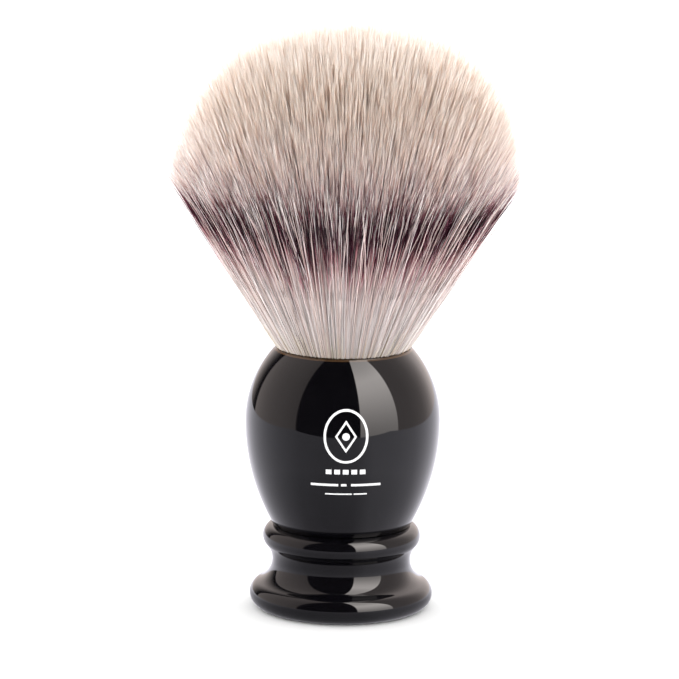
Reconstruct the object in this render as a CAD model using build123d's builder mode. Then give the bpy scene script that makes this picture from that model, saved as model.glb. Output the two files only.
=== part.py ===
"""A shaving brush: a turned resin handle with a glued-in knot of synthetic fibres.

Millimetres, +Z up. The origin is the centre of the ring that the foot stands on, and every
piece is turned about the Z axis. The knot's fibres fan out of the handle's mouth in a cone and
end in a dome. The free fibres are two solids, each free to bend on the one below it.
"""
from build123d import *
from math import asin, atan2, cos, degrees, hypot, radians, sin, sqrt, tan
import os

# --- Handle: the outline, from the foot up ---
FOOT_SECTION_R = 2.25                 # radius of the foot's round edge
FOOT_SECTION_CENTRE_R = 13.05        # how far that round edge's centre is from the axis
COVE_R = 3.95                        # hollow between the foot and the bead
BEAD_SECTION_R = 2.1                # bead under the bulb
BEAD_SECTION_CENTRE_R = 11.1
BEAD_SECTION_CENTRE_Z = 12.05
BULB_WIDEST_R = 16.25                 # the bulb where it is widest
BULB_WIDEST_Z = 31.7
BULB_LOWER_R = 35.0                  # curvature of the bulb below its widest place
BULB_UPPER_R = 18.3                  # and above it
BULB_BOTTOM_Z = 14.2                # where the bulb meets the groove over the bead
GROOVE_DEPTH = 0.28                  # fine turned groove between the bulb and the bead
HANDLE_TOP_Z = 44.2                  # the mouth's rim
RIM_ROUND_R = 0.1                    # softened outer edge of the rim

# --- Handle: the recess under the foot and the socket in the top ---
RECESS_R = 11.2
RECESS_DEPTH = 0.9
RECESS_WALL_SLOPE = 0.6              # the recess is this much narrower at its ceiling
SOCKET_R = 10.5                      # bore that takes the knot's ring
SOCKET_DEPTH = 15.2
MOUTH_R = 11.15                       # the flared mouth at the rim

# --- Knot ---
GLUE_GAP = 0.15                      # glue film between the ring and the bore
GLUE_FLOOR = 0.3                     # glue under the ring
GLUE_BEAD_HEIGHT = 0.3               # the bead of glue that stands above the rim
FERRULE_WALL = 0.8
FERRULE_LENGTH = 11.6
FERRULE_CHAMFER = 0.3                # inside its top edge, where the fibres spread
PLUG_LENGTH = 5.6                    # resin that locks the roots in the ring
PLUG_FLOOR = 1.8                     # resin below the roots
CORD_R = 0.4                         # binding cord
CORD_TURNS = 3
CORD_PITCH = 0.86                    # from one turn to the next
CORD_START = 0.6                     # its lowest turn's centre above the roots' ends
WAIST_R = 8.2                        # the roots where the cord pulls them in
WAIST_SPREAD = 2.0                   # height over which they spread out to the ring again

# --- Tuft ---
FLANK_ANGLE = 33.0                   # the fan's side, from vertical
FLANK_R = 10.95                       # fibre bundle's radius level with the rim
SHOULDER_R = 13.1                    # curvature of the tuft's shoulder
DOME_R = 28.6                        # curvature of the top
FLANK_TOP_Z = 67.0                   # where the straight flank ends
BEND_LOW_Z = 49.9                    # the lower bend's axis, along Y
BEND_HIGH_Z = 61.9                   # the upper bend's axis, along X
BEND_LOW_FACE_R = 15.8               # the round face that the middle turns on
BEND_HIGH_FACE_R = 22.56             # the round face that the tip turns on
BEND_GAP = 0.3                       # clearance between neighbours that bend

# --- Places worked out from those ---
FLANK_SLOPE = tan(radians(FLANK_ANGLE))
SOCKET_FLOOR_Z = HANDLE_TOP_Z - SOCKET_DEPTH
MOUTH_BOTTOM_Z = HANDLE_TOP_Z - (MOUTH_R - SOCKET_R) / FLANK_SLOPE
FERRULE_R = SOCKET_R - GLUE_GAP
FERRULE_BORE_R = FERRULE_R - FERRULE_WALL
FERRULE_BOTTOM_Z = SOCKET_FLOOR_Z + GLUE_FLOOR
FERRULE_TOP_Z = FERRULE_BOTTOM_Z + FERRULE_LENGTH
PLUG_TOP_Z = FERRULE_BOTTOM_Z + PLUG_LENGTH
ROOTS_BOTTOM_Z = FERRULE_BOTTOM_Z + PLUG_FLOOR
CORD_START_Z = ROOTS_BOTTOM_Z + CORD_START


def flank_radius(z):
    """The fibre bundle's radius on its straight flank at height z."""
    return FLANK_R + (z - HANDLE_TOP_Z) * FLANK_SLOPE


def on_flank(centre_z, distance):
    """The point of the straight flank at a distance from the axis point (0, centre_z)."""
    r = flank_radius(centre_z)
    steepness = 1 + FLANK_SLOPE ** 2
    rise = (sqrt((r * FLANK_SLOPE) ** 2 - steepness * (r ** 2 - distance ** 2)) - r * FLANK_SLOPE) / steepness
    return (r + rise * FLANK_SLOPE, centre_z + rise)


def face_middle(centre_z, radius, edge):
    """The point halfway along a joint face, from its edge on the flank to the axis."""
    angle = (degrees(atan2(edge[1] - centre_z, edge[0])) + 90) / 2
    return on_circle((0, centre_z), radius, angle)


def cove_centre():
    """Centre of the arc that touches both the foot's round edge and the bead."""
    foot_r = COVE_R + FOOT_SECTION_R
    bead_r = COVE_R + BEAD_SECTION_R
    across = FOOT_SECTION_CENTRE_R - BEAD_SECTION_CENTRE_R
    down = BEAD_SECTION_CENTRE_Z - FOOT_SECTION_R
    span = hypot(across, down)
    along = (bead_r ** 2 - foot_r ** 2 + span ** 2) / (2 * span)
    off = sqrt(bead_r ** 2 - along ** 2)
    return (BEAD_SECTION_CENTRE_R + (along * across + off * down) / span,
            BEAD_SECTION_CENTRE_Z + (off * across - along * down) / span)


def between(start, end, distance):
    """The point at a distance from start on the way to end."""
    length = hypot(end[0] - start[0], end[1] - start[1])
    return (start[0] + (end[0] - start[0]) * distance / length,
            start[1] + (end[1] - start[1]) * distance / length)


def bulb_radius(z):
    """The bulb's outline: two arcs that share a vertical tangent at the widest place."""
    arc_r = BULB_UPPER_R if z > BULB_WIDEST_Z else BULB_LOWER_R
    return BULB_WIDEST_R - arc_r + sqrt(arc_r ** 2 - (z - BULB_WIDEST_Z) ** 2)


def bulb_middle(z):
    """The point halfway along the bulb's arc from the widest place to height z."""
    arc_r = BULB_UPPER_R if z > BULB_WIDEST_Z else BULB_LOWER_R
    half = asin((z - BULB_WIDEST_Z) / arc_r) / 2
    return (BULB_WIDEST_R - arc_r + arc_r * cos(half), BULB_WIDEST_Z + arc_r * sin(half))


def on_circle(centre, radius, angle):
    """The point of a circle at an angle from the outward direction, counted towards +Z."""
    return (centre[0] + radius * cos(radians(angle)), centre[1] + radius * sin(radians(angle)))


# The outline's tangent points.
foot_centre = (FOOT_SECTION_CENTRE_R, FOOT_SECTION_R)
bead_centre = (BEAD_SECTION_CENTRE_R, BEAD_SECTION_CENTRE_Z)
cove = cove_centre()
foot_to_cove = between(foot_centre, cove, FOOT_SECTION_R)
cove_to_bead = between(bead_centre, cove, BEAD_SECTION_R)
bulb_bottom = (bulb_radius(BULB_BOTTOM_Z), BULB_BOTTOM_Z)
bead_top_r = bulb_bottom[0] - 0.1
bead_rise = sqrt(BEAD_SECTION_R ** 2 - (bead_top_r - BEAD_SECTION_CENTRE_R) ** 2)
bead_top = (bead_top_r, BEAD_SECTION_CENTRE_Z + bead_rise)
groove = (bead_top_r - GROOVE_DEPTH, (bead_top[1] + bulb_bottom[1]) / 2)
rim_outer = (bulb_radius(HANDLE_TOP_Z - RIM_ROUND_R), HANDLE_TOP_Z - RIM_ROUND_R)

# The fibre bundle's outline where it leaves the ring and where it passes the flared mouth.
bundle_at_ring = (FERRULE_BORE_R + FERRULE_CHAMFER, FERRULE_TOP_Z)
bundle_at_mouth = (flank_radius(MOUTH_BOTTOM_Z), MOUTH_BOTTOM_Z)
bundle_at_glue = (flank_radius(HANDLE_TOP_Z + GLUE_BEAD_HEIGHT), HANDLE_TOP_Z + GLUE_BEAD_HEIGHT)

# The joint faces' edges on the flank: the lower piece's, and the upper piece's a gap further out.
low_edge = on_flank(BEND_LOW_Z, BEND_LOW_FACE_R)
low_edge_above = on_flank(BEND_LOW_Z, BEND_LOW_FACE_R + BEND_GAP)
high_edge = on_flank(BEND_HIGH_Z, BEND_HIGH_FACE_R)
high_edge_above = on_flank(BEND_HIGH_Z, BEND_HIGH_FACE_R + BEND_GAP)

# The shoulder's arc touches the flank, and the dome's arc touches the shoulder's.
flank_top = (flank_radius(FLANK_TOP_Z), FLANK_TOP_Z)
shoulder_centre = (flank_top[0] - SHOULDER_R * cos(radians(FLANK_ANGLE)),
                   FLANK_TOP_Z + SHOULDER_R * sin(radians(FLANK_ANGLE)))
dome_centre = (0, shoulder_centre[1] - sqrt((DOME_R - SHOULDER_R) ** 2 - shoulder_centre[0] ** 2))
shoulder_end = between(dome_centre, shoulder_centre, DOME_R)
dome_angle = degrees(atan2(shoulder_end[1] - dome_centre[1], shoulder_end[0]))

# --- handle: one turned solid ---
with BuildPart() as handle:
    with BuildSketch(Plane.XZ):
        with BuildLine():
            # The foot: the ring it stands on, its round edge, and the hollow above it.
            Line((RECESS_R, 0), (FOOT_SECTION_CENTRE_R, 0))
            ThreePointArc((FOOT_SECTION_CENTRE_R, 0), on_circle(foot_centre, FOOT_SECTION_R, 0), foot_to_cove)
            ThreePointArc(foot_to_cove, (cove[0] - COVE_R, cove[1]), cove_to_bead)
            # The bead, up to the groove under the bulb.
            ThreePointArc(cove_to_bead, on_circle(bead_centre, BEAD_SECTION_R, 10), bead_top)
            Polyline(bead_top, groove, bulb_bottom)
            # The bulb.
            ThreePointArc(bulb_bottom, bulb_middle(BULB_BOTTOM_Z), (BULB_WIDEST_R, BULB_WIDEST_Z))
            ThreePointArc((BULB_WIDEST_R, BULB_WIDEST_Z), bulb_middle(rim_outer[1]), rim_outer)
            # The rim, the flared mouth and the socket.
            Polyline(rim_outer, (rim_outer[0] - RIM_ROUND_R, HANDLE_TOP_Z), (MOUTH_R, HANDLE_TOP_Z),
                     (SOCKET_R, MOUTH_BOTTOM_Z), (SOCKET_R, SOCKET_FLOOR_Z), (0, SOCKET_FLOOR_Z))
            # Down the axis and out along the recess under the foot.
            Polyline((0, SOCKET_FLOOR_Z), (0, RECESS_DEPTH), (RECESS_R - RECESS_WALL_SLOPE, RECESS_DEPTH),
                     (RECESS_R, 0))
        make_face()
    revolve(axis=Axis.Z)
handle.part.label = "handle"

# --- socket_adhesive: the film round the ring, and the bead of glue at the mouth ---
with BuildPart() as socket_adhesive:
    with BuildSketch(Plane.XZ):
        with BuildLine():
            Polyline((0, SOCKET_FLOOR_Z), (SOCKET_R, SOCKET_FLOOR_Z), (SOCKET_R, MOUTH_BOTTOM_Z),
                     (MOUTH_R, HANDLE_TOP_Z), bundle_at_glue,
                     bundle_at_mouth, bundle_at_ring, (FERRULE_R, FERRULE_TOP_Z),
                     (FERRULE_R, FERRULE_BOTTOM_Z), (0, FERRULE_BOTTOM_Z), (0, SOCKET_FLOOR_Z))
        make_face()
    revolve(axis=Axis.Z)
socket_adhesive.part.label = "socket_adhesive"

# --- knot_ferrule: the plastic ring that the fibres are set in ---
with BuildPart() as knot_ferrule:
    with BuildSketch(Plane.XY.offset(FERRULE_BOTTOM_Z)):
        Circle(FERRULE_R)
        Circle(FERRULE_BORE_R, mode=Mode.SUBTRACT)
    extrude(amount=FERRULE_LENGTH)
    inner_top = knot_ferrule.edges().filter_by(GeomType.CIRCLE).group_by(Axis.Z)[-1].sort_by(SortBy.RADIUS)[0]
    chamfer(inner_top, length=FERRULE_CHAMFER)
knot_ferrule.part.label = "knot_ferrule"

# --- tuft_root: the fibres that the ring holds, up to the first joint face ---
with BuildPart() as tuft_root:
    with BuildSketch(Plane.XZ):
        with BuildLine():
            Polyline((0, BEND_LOW_Z + BEND_LOW_FACE_R), (0, ROOTS_BOTTOM_Z), (WAIST_R, ROOTS_BOTTOM_Z),
                     (WAIST_R, PLUG_TOP_Z), (FERRULE_BORE_R, PLUG_TOP_Z + WAIST_SPREAD),
                     (FERRULE_BORE_R, FERRULE_TOP_Z - FERRULE_CHAMFER), bundle_at_ring, bundle_at_mouth,
                     low_edge)
            ThreePointArc(low_edge, face_middle(BEND_LOW_Z, BEND_LOW_FACE_R, low_edge),
                          (0, BEND_LOW_Z + BEND_LOW_FACE_R))
        make_face()
    revolve(axis=Axis.Z)
tuft_root.part.label = "tuft_root"

# --- binding_cord: turns of cord round the roots' waist ---
with BuildPart() as binding_cord:
    with BuildLine() as cord_path:
        Helix(pitch=CORD_PITCH, height=CORD_PITCH * CORD_TURNS, radius=WAIST_R + CORD_R,
              center=(0, 0, CORD_START_Z))
    with BuildSketch(Plane(origin=cord_path.line @ 0, z_dir=cord_path.line % 0)):
        Circle(CORD_R)
    sweep(path=cord_path.line, is_frenet=True)
binding_cord.part.label = "binding_cord"

# --- potting_plug: the resin that locks the roots in the ring, round the cord ---
with BuildPart() as potting_plug:
    with BuildSketch(Plane.XY.offset(FERRULE_BOTTOM_Z)):
        Circle(FERRULE_BORE_R)
    extrude(amount=PLUG_LENGTH)
    with BuildSketch(Plane.XY.offset(ROOTS_BOTTOM_Z)):
        Circle(WAIST_R)
    extrude(amount=PLUG_LENGTH - PLUG_FLOOR, mode=Mode.SUBTRACT)
    with BuildSketch(Plane.XY.offset(CORD_START_Z - CORD_R)):
        Circle(WAIST_R + 2 * CORD_R)
    extrude(amount=CORD_PITCH * CORD_TURNS + 2 * CORD_R, mode=Mode.SUBTRACT)
potting_plug.part.label = "potting_plug"

# --- tuft_mid: the free fibres' lower half, which bends side to side on tuft_root ---
with BuildPart() as tuft_mid:
    with BuildSketch(Plane.XZ):
        with BuildLine():
            low_face_r = BEND_LOW_FACE_R + BEND_GAP
            Line((0, BEND_HIGH_Z + BEND_HIGH_FACE_R), (0, BEND_LOW_Z + low_face_r))
            ThreePointArc((0, BEND_LOW_Z + low_face_r), face_middle(BEND_LOW_Z, low_face_r, low_edge_above),
                          low_edge_above)
            Line(low_edge_above, high_edge)
            ThreePointArc(high_edge, face_middle(BEND_HIGH_Z, BEND_HIGH_FACE_R, high_edge),
                          (0, BEND_HIGH_Z + BEND_HIGH_FACE_R))
        make_face()
    revolve(axis=Axis.Z)
tuft_mid.part.label = "tuft_mid"

# --- tuft_tip: the free fibres' upper half and the dome, which bends fore and aft on tuft_mid ---
with BuildPart() as tuft_tip:
    with BuildSketch(Plane.XZ):
        with BuildLine():
            high_face_r = BEND_HIGH_FACE_R + BEND_GAP
            Line((0, dome_centre[1] + DOME_R), (0, BEND_HIGH_Z + high_face_r))
            ThreePointArc((0, BEND_HIGH_Z + high_face_r), face_middle(BEND_HIGH_Z, high_face_r, high_edge_above),
                          high_edge_above)
            Line(high_edge_above, flank_top)
            ThreePointArc(flank_top, on_circle(shoulder_centre, SHOULDER_R, 0), shoulder_end)
            ThreePointArc(shoulder_end, on_circle(dome_centre, DOME_R, (dome_angle + 90) / 2),
                          (0, dome_centre[1] + DOME_R))
        make_face()
    revolve(axis=Axis.Z)
tuft_tip.part.label = "tuft_tip"

os.makedirs("parts", exist_ok=True)
export_step(handle.part, "parts/handle.step")
export_step(socket_adhesive.part, "parts/socket_adhesive.step")
export_step(knot_ferrule.part, "parts/knot_ferrule.step")
export_step(potting_plug.part, "parts/potting_plug.step")
export_step(binding_cord.part, "parts/binding_cord.step")
export_step(tuft_root.part, "parts/tuft_root.step")
export_step(tuft_mid.part, "parts/tuft_mid.step")
export_step(tuft_tip.part, "parts/tuft_tip.step")
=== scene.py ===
"""The looks of a shaving brush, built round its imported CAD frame.

Lengths below are in millimetres, as in the CAD source, and MM turns them into Blender's metres.
+Z is up, the brush's axis is Z, and the camera looks along +Y.
"""
from math import atan2, cos, hypot, pi, radians, sin, sqrt, tan
import bpy
import numpy as np
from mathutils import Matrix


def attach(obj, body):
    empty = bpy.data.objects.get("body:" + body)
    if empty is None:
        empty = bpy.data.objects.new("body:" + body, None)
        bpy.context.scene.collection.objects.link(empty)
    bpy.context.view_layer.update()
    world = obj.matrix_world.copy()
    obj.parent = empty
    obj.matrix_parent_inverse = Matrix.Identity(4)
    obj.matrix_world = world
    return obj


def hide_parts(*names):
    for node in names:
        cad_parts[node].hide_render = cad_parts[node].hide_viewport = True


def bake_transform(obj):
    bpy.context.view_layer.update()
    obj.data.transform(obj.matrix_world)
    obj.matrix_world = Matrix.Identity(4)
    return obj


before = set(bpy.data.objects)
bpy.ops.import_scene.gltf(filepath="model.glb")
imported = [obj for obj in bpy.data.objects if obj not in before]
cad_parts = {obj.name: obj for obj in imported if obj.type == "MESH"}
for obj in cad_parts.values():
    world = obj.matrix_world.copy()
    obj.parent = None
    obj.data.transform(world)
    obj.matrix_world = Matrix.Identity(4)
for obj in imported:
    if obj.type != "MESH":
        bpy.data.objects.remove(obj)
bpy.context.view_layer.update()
scene = bpy.context.scene

MM = 0.001
BAKE_UV = "OFBake"        # the UV layer that the meshes carry and the fibre materials read
ON_AXIS = 1e-6            # an outline's point with a smaller radius lies on the axis

# --- The CAD's driving dimensions that the smooth pieces repeat ---
FOOT_SECTION_R = 2.25
FOOT_SECTION_CENTRE_R = 13.05
COVE_R = 3.95
BEAD_SECTION_R = 2.1
BEAD_SECTION_CENTRE_R = 11.1
BEAD_SECTION_CENTRE_Z = 12.05
BULB_WIDEST_R = 16.25
BULB_WIDEST_Z = 31.7
BULB_LOWER_R = 35.0
BULB_UPPER_R = 18.3
BULB_BOTTOM_Z = 14.2
GROOVE_DEPTH = 0.28
HANDLE_TOP_Z = 44.2
RIM_ROUND_R = 0.1
RECESS_R = 11.2
RECESS_DEPTH = 0.9
RECESS_WALL_SLOPE = 0.6
SOCKET_R = 10.5
SOCKET_DEPTH = 15.2
MOUTH_R = 11.15
GLUE_GAP = 0.15
GLUE_FLOOR = 0.3
GLUE_BEAD_HEIGHT = 0.3
FERRULE_WALL = 0.8
FERRULE_LENGTH = 11.6
FERRULE_CHAMFER = 0.3
PLUG_LENGTH = 5.6
PLUG_FLOOR = 1.8
WAIST_R = 8.2
WAIST_SPREAD = 2.0
FLANK_ANGLE = radians(33.0)
FLANK_R = 10.95
SHOULDER_R = 13.1
DOME_R = 28.6
FLANK_TOP_Z = 67.0

# --- Places worked out from those ---
FLANK_SLOPE = tan(FLANK_ANGLE)
APEX_Z = HANDLE_TOP_Z - FLANK_R / FLANK_SLOPE  # where the fibres' lines would meet, inside the handle
SOCKET_FLOOR_Z = HANDLE_TOP_Z - SOCKET_DEPTH
MOUTH_BOTTOM_Z = HANDLE_TOP_Z - (MOUTH_R - SOCKET_R) / FLANK_SLOPE
FERRULE_R = SOCKET_R - GLUE_GAP
FERRULE_BORE_R = FERRULE_R - FERRULE_WALL
FERRULE_BOTTOM_Z = SOCKET_FLOOR_Z + GLUE_FLOOR
FERRULE_TOP_Z = FERRULE_BOTTOM_Z + FERRULE_LENGTH
PLUG_TOP_Z = FERRULE_BOTTOM_Z + PLUG_LENGTH
ROOTS_BOTTOM_Z = FERRULE_BOTTOM_Z + PLUG_FLOOR

# --- The height at which each fibre and the core are split into a lower and an upper piece ---
BEND_SPLIT_Z = 55.4


def flank_radius(z):
    """The fibre bundle's radius on its straight flank at height z."""
    return FLANK_R + (z - HANDLE_TOP_Z) * FLANK_SLOPE


def bulb_radius(z):
    """The bulb's outline: two arcs that share a vertical tangent at the widest place."""
    arc_r = BULB_UPPER_R if z > BULB_WIDEST_Z else BULB_LOWER_R
    return BULB_WIDEST_R - arc_r + sqrt(arc_r ** 2 - (z - BULB_WIDEST_Z) ** 2)


def between(start, end, distance):
    """The point at a distance from start on the way to end."""
    length = hypot(end[0] - start[0], end[1] - start[1])
    return (start[0] + (end[0] - start[0]) * distance / length,
            start[1] + (end[1] - start[1]) * distance / length)


def arc(centre, start, end, step=0.3):
    """Points on a circle round centre from start to end the shorter way, about a step apart."""
    radius = hypot(start[0] - centre[0], start[1] - centre[1])
    first = atan2(start[1] - centre[1], start[0] - centre[0])
    turn = atan2(end[1] - centre[1], end[0] - centre[0]) - first
    turn = (turn + pi) % (2 * pi) - pi
    count = max(2, round(abs(turn) * radius / step))
    return [(centre[0] + radius * cos(first + turn * i / count), centre[1] + radius * sin(first + turn * i / count))
            for i in range(count + 1)]


def straight(*points):
    """The straight runs from each point to the next."""
    return [list(pair) for pair in zip(points, points[1:])]


# ------------ meshes

def new_object(name, mesh, material):
    """An object in the scene with one mesh and one material."""
    mesh.materials.append(material)
    made = bpy.data.objects.new(name, mesh)
    scene.collection.objects.link(made)
    return made


def read(items, key, width, kind):
    """What each item of a mesh holds under a key, one row for each item."""
    values = np.zeros(len(items) * width, kind)
    items.foreach_get(key, values)
    return values.reshape(-1, width)


def corner_uvs(*corners):
    """The faces' UVs, from the u and v of each of their corners."""
    values = np.broadcast_arrays(*[value for corner in corners for value in corner])
    return np.stack(values, -1).reshape(*values[0].shape, len(corners), 2)


def mesh_from(name, vertices, faces_by_size, uvs):
    """A smooth mesh. faces_by_size is a list of index arrays, one row for each face, and uvs goes with it."""
    mesh = bpy.data.meshes.new(name)
    mesh.vertices.add(len(vertices))
    mesh.vertices.foreach_set("co", (np.asarray(vertices) * MM).astype(np.float32).ravel())
    loops = np.concatenate([f.ravel() for f in faces_by_size])
    sizes = np.concatenate([np.full(len(f), f.shape[1]) for f in faces_by_size])
    mesh.loops.add(len(loops))
    mesh.loops.foreach_set("vertex_index", loops.astype(np.int32))
    mesh.polygons.add(len(sizes))
    mesh.polygons.foreach_set("loop_start", np.concatenate([[0], np.cumsum(sizes)[:-1]]).astype(np.int32))
    layer = mesh.uv_layers.new(name=BAKE_UV)
    layer.data.foreach_set("uv", np.concatenate([u.reshape(-1, 2) for u in uvs]).astype(np.float32).ravel())
    mesh.update(calc_edges=True)
    mesh.shade_smooth()
    return mesh


def turned(name, runs, around, material):
    """A surface of revolution. Each run is a smooth stretch of the outline, and runs meet in sharp edges."""
    outline, sharp = [], []
    for run in runs:
        if outline:
            sharp.append(len(outline) - 1)
        outline += run if not outline else run[1:]
    outline = np.array(outline)
    angle = 2 * pi * np.arange(around) / around
    vertices, ring_start = [], []
    for r, z in outline:
        ring_start.append(len(vertices))
        if r < ON_AXIS:
            vertices.append((0, 0, z))
        else:
            vertices += [(r * cos(a), r * sin(a), z) for a in angle]
    along = np.concatenate([[0], np.cumsum(np.hypot(*np.diff(outline, axis=0).T))])
    along /= along[-1]
    side = np.arange(around)
    after = (side + 1) % around
    u0, u1 = side / around, (side + 1) / around
    quads, quad_uv, fans, fan_uv = [], [], [], []
    for j in range(len(outline) - 1):
        low, high = ring_start[j], ring_start[j + 1]
        v0, v1 = along[j:j + 2]
        if outline[j][0] < ON_AXIS:
            fans.append(np.stack([np.full(around, low), high + after, high + side], 1))
            fan_uv.append(corner_uvs((u0, v0), (u1, v1), (u0, v1)))
        elif outline[j + 1][0] < ON_AXIS:
            fans.append(np.stack([low + side, low + after, np.full(around, high)], 1))
            fan_uv.append(corner_uvs((u0, v0), (u1, v0), (u0, v1)))
        else:
            quads.append(np.stack([low + side, low + after, high + after, high + side], 1))
            quad_uv.append(corner_uvs((u0, v0), (u1, v0), (u1, v1), (u0, v1)))
    faces, uvs = [np.concatenate(quads)], [np.concatenate(quad_uv)]
    if fans:
        faces.append(np.concatenate(fans))
        uvs.append(np.concatenate(fan_uv))
    mesh = mesh_from(name, vertices, faces, uvs)
    ring_of = np.zeros(len(vertices), int)
    for j, start in enumerate(ring_start):
        ring_of[start:] = j
    rings = ring_of[read(mesh.edges, "vertices", 2, np.int32)]
    mesh.edges.foreach_set("use_edge_sharp", (rings[:, 0] == rings[:, 1]) & np.isin(rings[:, 0], sharp))
    return new_object(name, mesh, material)


# ------------ materials

def node_material(name):
    """A new material, its node tree and its Principled shader."""
    made = bpy.data.materials.new(name)
    made.use_nodes = True
    tree = made.node_tree
    return made, tree, tree.nodes["Principled BSDF"]


def fill(tree, node, inputs):
    """Sets a node's inputs to values, or links them to other nodes' outputs."""
    for key, value in inputs.items():
        if isinstance(value, bpy.types.NodeSocket):
            tree.links.new(value, node.inputs[key])
        else:
            node.inputs[key].default_value = value


def add(tree, kind, inputs=None, **settings):
    """A shader node with its settings and its inputs."""
    node = tree.nodes.new("ShaderNode" + kind)
    for key, value in settings.items():
        setattr(node, key, value)
    fill(tree, node, inputs or {})
    return node


def maths(tree, operation, *values, clamp=False):
    """The result of a Math node."""
    return add(tree, "Math", dict(enumerate(values)), operation=operation, use_clamp=clamp).outputs[0]


def scaled(tree, value, factor, added=0.0, clamp=False):
    """A value times a factor, with something added."""
    return maths(tree, "MULTIPLY_ADD", value, factor, added, clamp=clamp)


def ramp(tree, factor, stops):
    """The colour of a ColorRamp node. Each stop is a place and a colour or a grey value."""
    node = add(tree, "ValToRGB", {"Fac": factor})
    elements = node.color_ramp.elements
    while len(elements) < len(stops):
        elements.new(0.5)
    for element, (place, colour) in zip(elements, stops):
        element.position = place
        element.color = (colour,) * 3 + (1,) if isinstance(colour, (int, float)) else (*colour, 1)
    return node.outputs["Color"]


def mixed(tree, factor, first, second, blend="MIX"):
    """The colour of a Mix node."""
    node = add(tree, "Mix", data_type="RGBA", blend_type=blend)
    colours = {key: (*value, 1) if isinstance(value, tuple) else value for key, value in ((6, first), (7, second))}
    fill(tree, node, {0: factor, **colours})
    return node.outputs[2]


def object_place(tree):
    """The place on the object, from its origin."""
    return add(tree, "TexCoord").outputs["Object"]


def height_of(tree, place):
    """A place's Z."""
    return add(tree, "SeparateXYZ", {0: place}).outputs["Z"]


def noise(tree, place, scale, detail):
    """The value of a Noise node at a place."""
    return add(tree, "TexNoise", {"Vector": place, "Scale": scale, "Detail": detail}).outputs["Fac"]


# A dark brown line round the rim: its colour, the height it reaches on the fibres' feet over the rim, how unevenly
# that height runs, and how far it reaches down the handle's lip below its top.
RIM_LINE_BROWN = (0.050, 0.027, 0.013)
RIM_LINE_HEIGHT = 0.20
RIM_LINE_UNEVEN = 0.2
LIP_LINE_DEPTH = 0.28


def resin_material():
    """Polished black resin with the faint haze and hairlines that buffing leaves, and a dark brown line on its lip.
    """
    made, tree, shader = node_material("polished_black_resin")
    place = object_place(tree)
    haze = noise(tree, place, scale=260.0, detail=4.0)
    hairline_place = add(tree, "Mapping", {"Vector": place, "Scale": (60.0, 60.0, 5200.0)}).outputs[0]
    hairlines = noise(tree, hairline_place, scale=1.0, detail=2.0)
    rough = scaled(tree, haze, 0.018, 0.018)
    rough = scaled(tree, hairlines, 0.012, rough)
    black = ramp(tree, haze, [(0.3, (0.0016, 0.0015, 0.0022)), (0.7, (0.0024, 0.0022, 0.0030))])
    on_lip = maths(tree, "GREATER_THAN", height_of(tree, place), (HANDLE_TOP_Z - LIP_LINE_DEPTH) * MM)
    fill(tree, shader, {"IOR": 1.49, "Roughness": rough, "Base Color": mixed(tree, on_lip, black, RIM_LINE_BROWN)})
    return made


def glue_material():
    """Amber resin, darkest below the rim, in the mouth, and paler towards the top of its bead over the rim."""
    made, tree, shader = node_material("amber_glue")
    place = object_place(tree)
    over_rim = maths(tree, "SUBTRACT", height_of(tree, place), HANDLE_TOP_Z * MM)
    share = maths(tree, "DIVIDE", over_rim, GLUE_BEAD_HEIGHT * MM)
    wave = noise(tree, place, scale=900.0, detail=3.0)
    share = scaled(tree, maths(tree, "SUBTRACT", wave, 0.5), 0.5, share)
    colour = ramp(tree, share, [(0.0, (0.012, 0.006, 0.003)), (0.75, (0.030, 0.017, 0.008)),
                                (1.0, (0.20, 0.155, 0.10))])
    fill(tree, shader, {"IOR": 1.5, "Base Color": colour, "Roughness": scaled(tree, wave, 0.25, 0.15)})
    return made


def print_material():
    """Screen-printed white ink, very slightly uneven."""
    made, tree, shader = node_material("white_ink")
    grain = noise(tree, object_place(tree), scale=3500.0, detail=3.0)
    fill(tree, shader, {"Base Color": ramp(tree, grain, [(0.3, 0.70), (0.7, 0.84)]),
                        "Roughness": scaled(tree, grain, 0.3, 0.3)})
    return made


def moulded_material(name, low, high, rough, scale):
    """A moulded or cast plastic: two close colours, and a fine grain in its roughness and surface."""
    made, tree, shader = node_material(name)
    grain = noise(tree, object_place(tree), scale=scale, detail=5.0)
    bump = add(tree, "Bump", {"Height": grain, "Strength": 0.15, "Distance": 0.05 * MM})
    fill(tree, shader, {"Base Color": ramp(tree, grain, [(0.3, low), (0.7, high)]), "Normal": bump.outputs[0],
                        "Roughness": scaled(tree, grain, 0.2, rough)})
    return made


def cord_material():
    """Waxed thread, its plies twisted round it."""
    made, tree, shader = node_material("waxed_thread")
    plies = add(tree, "TexWave", {"Vector": object_place(tree), "Scale": 900.0, "Distortion": 1.5},
                bands_direction="DIAGONAL").outputs["Fac"]
    colour = ramp(tree, plies, [(0.1, (0.42, 0.36, 0.27)), (0.8, (0.72, 0.66, 0.55))])
    bump = add(tree, "Bump", {"Height": plies, "Strength": 0.6, "Distance": 0.08 * MM})
    fill(tree, shader, {"Base Color": colour, "Roughness": 0.6, "Normal": bump.outputs[0]})
    return made


VARIANTS = 64             # how many colourings of fibre there are, one in each column of the UV
LIGHT_STRIDE = 0.618      # a column has no dark band if its number times this has a high fraction
LIGHT_ABOVE = 0.85
FIBRE_SPAN = 60.0         # the length that the UV's height stands for, from the handle's rim
V_RANGE = (0.001, 0.999)  # the heights that are used of it
CHANCE_SEED = 3.37        # picks each column's chances
BAND_SHIFT = 8.5          # how far apart the bands of the most unlike columns lie

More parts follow.
